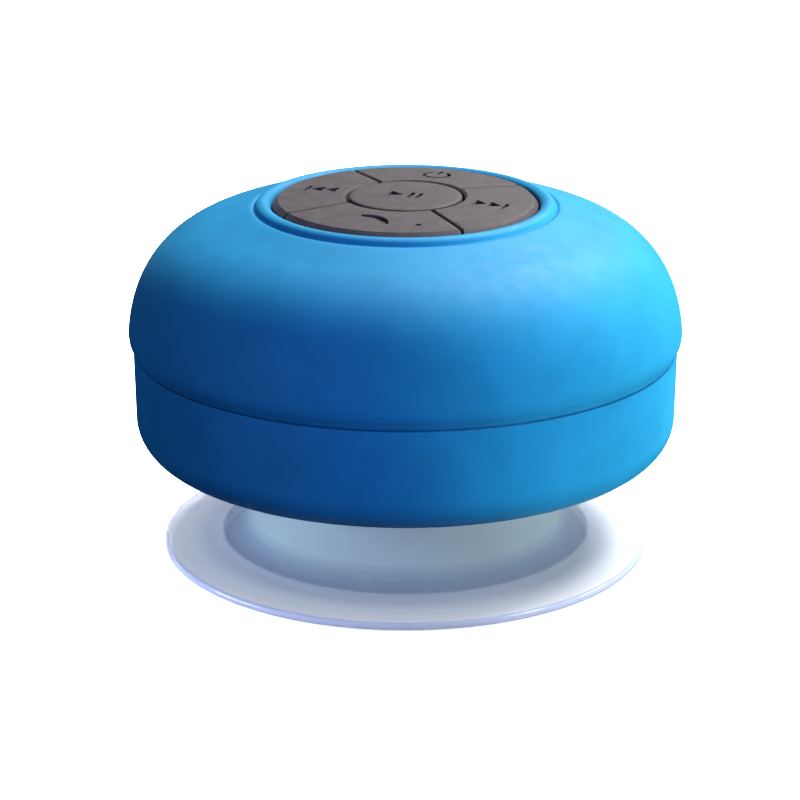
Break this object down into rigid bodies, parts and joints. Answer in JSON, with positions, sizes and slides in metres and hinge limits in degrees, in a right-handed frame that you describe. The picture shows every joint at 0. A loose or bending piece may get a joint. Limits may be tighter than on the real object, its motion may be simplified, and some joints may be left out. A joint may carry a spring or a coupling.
{
  "type": "shower speaker",
  "caption": "Round waterproof speaker on a clear suction cup, with a low blue silicone dome, a grey keypad on top and the driver facing the wall.",
  "frame": {"origin": "centre of the suction cup's rim plane, which is the lowest point of the part", "axes": "+Z from the cup to the keypad, -Y towards the call key, +X towards the next-track key, +Y towards the power key and the charging port"},
  "size_m": [0.0858, 0.0858, 0.0561],
  "materials": {
    "silicone_blue": "matte soft-touch silicone",
    "shell_plastic": "moulded, fine texture",
    "black_rubber": "matte",
    "dark_plastic": "fine spark texture",
    "mesh_cloth": "fine woven acoustic mesh",
    "key_silicone": "matte warm grey silicone",
    "switch_stem": "satin",
    "chip_black": "satin epoxy",
    "circuit_board": "solder mask",
    "plated_steel": "nickel plated",
    "ferrite": "sintered ferrite",
    "led_resin": "diffusing resin",
    "battery_foil": "satin laminate foil",
    "foam_tape": "open-cell foam",
    "cream_plastic": "satin",
    "wire_red": "smooth insulation",
    "wire_black": "smooth insulation",
    "copper": "enamelled copper winding",
    "cone_paper": "pressed paper pulp",
    "spider_cloth": "resin-stiffened cloth",
    "phenolic": "laminate",
    "clear_vinyl": "clear glossy soft vinyl with a faint blue tint"
  },
  "bodies": {
    "housing": {"dome_cover": "silicone_blue", "band": "silicone_blue", "upper_shell": "shell_plastic", "lower_shell": "shell_plastic", "seal_ring": "black_rubber", "rear_plate": "dark_plastic", "hub_cap": "dark_plastic", "acoustic_mesh": "mesh_cloth", "keypad_web": "key_silicone", "switch_bodies": "chip_black", "main_board": "circuit_board", "bluetooth_module": "plated_steel", "amplifier_chip": "chip_black", "power_inductor": "ferrite", "status_led": "led_resin", "mic_capsule": "plated_steel", "mic_boot": "black_rubber", "charge_board": "circuit_board", "charge_chip": "chip_black", "usb_socket": "plated_steel", "battery_cell": "battery_foil", "battery_tape": "foam_tape", "battery_plug": "cream_plastic", "battery_wires": "wire_red", "charge_wires": "wire_red", "speaker_wires": "wire_black", "driver_gasket": "black_rubber", "driver_basket": "plated_steel", "driver_top_plate": "plated_steel", "driver_magnet": "ferrite", "driver_yoke": "plated_steel", "driver_surround": "black_rubber", "driver_spider": "spider_cloth", "terminal_board": "phenolic", "case_screws": "plated_steel", "board_screws": "plated_steel", "driver_screws": "plated_steel", "plate_screws": "plated_steel"},
    "play_button": {"key_play": "key_silicone", "stem_play": "switch_stem"},
    "next_button": {"key_next": "key_silicone", "stem_next": "switch_stem"},
    "power_button": {"key_power": "key_silicone", "stem_power": "switch_stem"},
    "previous_button": {"key_previous": "key_silicone", "stem_previous": "switch_stem"},
    "call_button": {"key_call": "key_silicone", "stem_call": "switch_stem"},
    "cone_assembly": {"driver_cone": "cone_paper", "dust_cap": "cone_paper", "voice_coil": "copper"},
    "flap": {"port_flap": "silicone_blue"},
    "cup": {"suction_cup": "clear_vinyl"}
  },
  "joints": [
    {"name": "play_press", "type": "slide", "parent": "housing", "child": "play_button", "axis": [0, 0, -1], "range_m": [0, 0.0004], "stiffness_N_per_m": 3000, "springref_m": -0.0002},
    {"name": "next_press", "type": "slide", "parent": "housing", "child": "next_button", "axis": [0, 0, -1], "range_m": [0, 0.0004], "stiffness_N_per_m": 3000, "springref_m": -0.0002},
    {"name": "power_press", "type": "slide", "parent": "housing", "child": "power_button", "axis": [0, 0, -1], "range_m": [0, 0.0004], "stiffness_N_per_m": 3000, "springref_m": -0.0002},
    {"name": "previous_press", "type": "slide", "parent": "housing", "child": "previous_button", "axis": [0, 0, -1], "range_m": [0, 0.0004], "stiffness_N_per_m": 3000, "springref_m": -0.0002},
    {"name": "call_press", "type": "slide", "parent": "housing", "child": "call_button", "axis": [0, 0, -1], "range_m": [0, 0.0004], "stiffness_N_per_m": 3000, "springref_m": -0.0002},
    {"name": "cone_travel", "type": "slide", "parent": "housing", "child": "cone_assembly", "axis": [0, 0, -1], "range_m": [-0.001, 0.001], "stiffness_N_per_m": 2000, "deforming": ["driver_surround", "driver_spider"]},
    {"name": "port_flap_hinge", "type": "hinge", "parent": "housing", "child": "flap", "pos_m": [0, 0.042, 0.0219], "axis": [-1, 0, 0], "range_deg": [0, 100]},
    {"name": "cup_swivel", "type": "hinge", "parent": "housing", "child": "cup", "pos_m": [0, 0, 0.0133], "axis": [0, 0, 1], "continuous": true}
  ]
}
